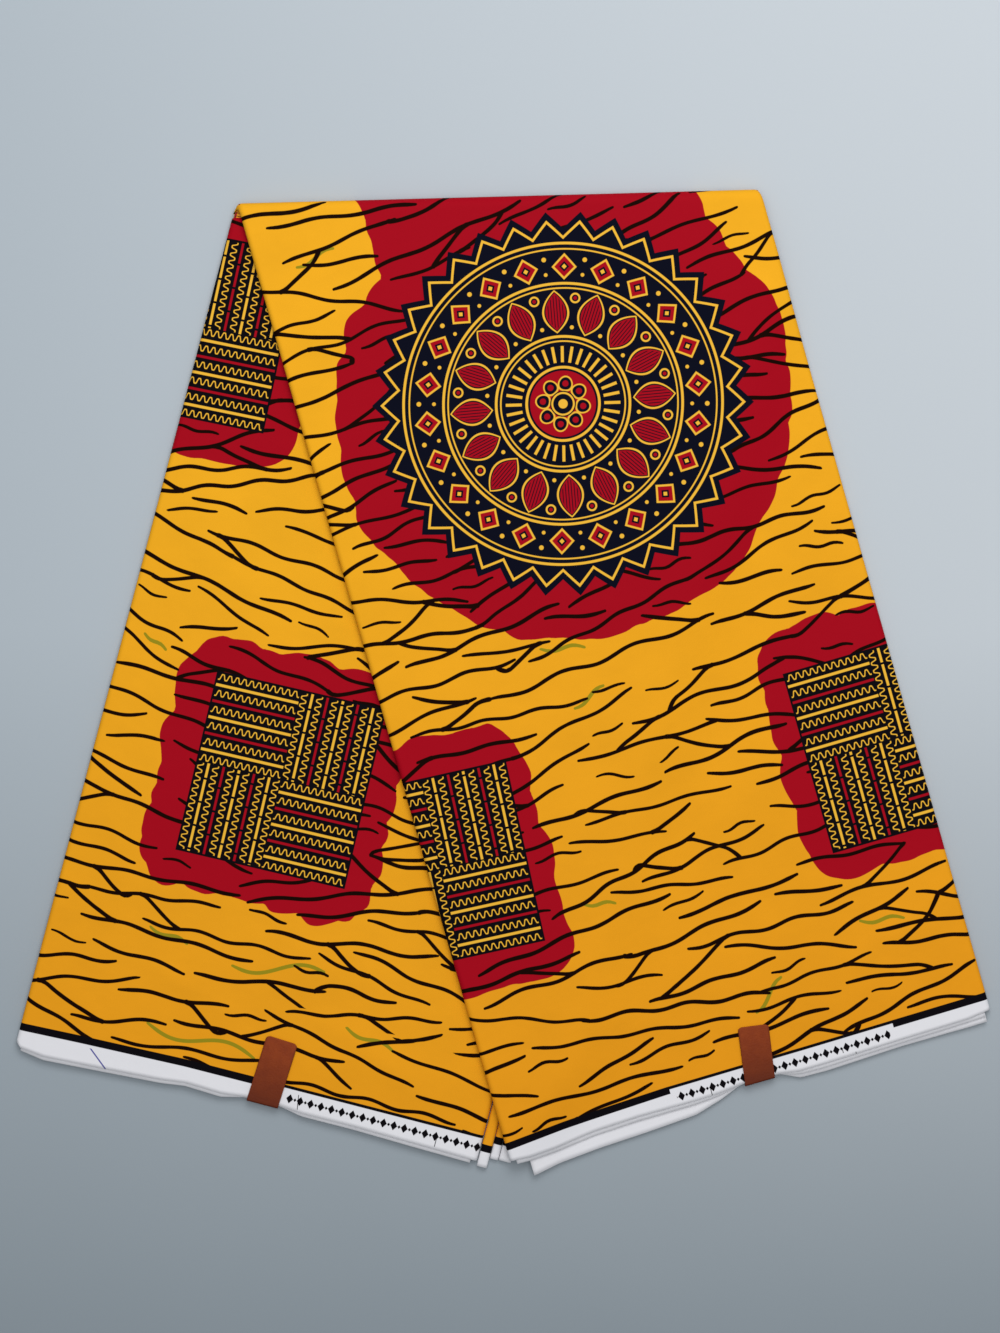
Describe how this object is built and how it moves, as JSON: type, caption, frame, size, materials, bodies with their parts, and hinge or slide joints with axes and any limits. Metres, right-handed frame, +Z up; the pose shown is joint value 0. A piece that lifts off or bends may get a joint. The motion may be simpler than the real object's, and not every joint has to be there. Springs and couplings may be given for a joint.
{
  "type": "wax print fabric",
  "caption": "Long printed cotton cloth folded into a strip, folded once over a slanting line and laid flat in a V shape, with white selvedge ends and small edge labels.",
  "frame": {"origin": "middle of the bounding box's bottom, on the surface that the cloth lies on", "axes": "+Z up out of the surface, +Y towards the main fold, +X towards the front half's free side edge"},
  "size_m": [0.6348, 0.6418, 0.0127],
  "materials": {
    "printed_cotton": "smooth cotton with a wax-resist print in black and red on yellow",
    "white_selvedge": "unprinted white cotton",
    "label_leather": "smooth brown imitation leather"
  },
  "bodies": {
    "root": {"inner_layers": "printed_cotton", "front_face": "printed_cotton", "back_face": "printed_cotton", "front_leaf_upper": "white_selvedge", "front_leaf_lower": "white_selvedge", "back_leaf": "white_selvedge", "centre_pleat_1": "printed_cotton", "centre_pleat_2": "printed_cotton", "centre_pleat_3": "printed_cotton", "front_label": "label_leather", "back_label": "label_leather"}
  },
  "joints": []
}
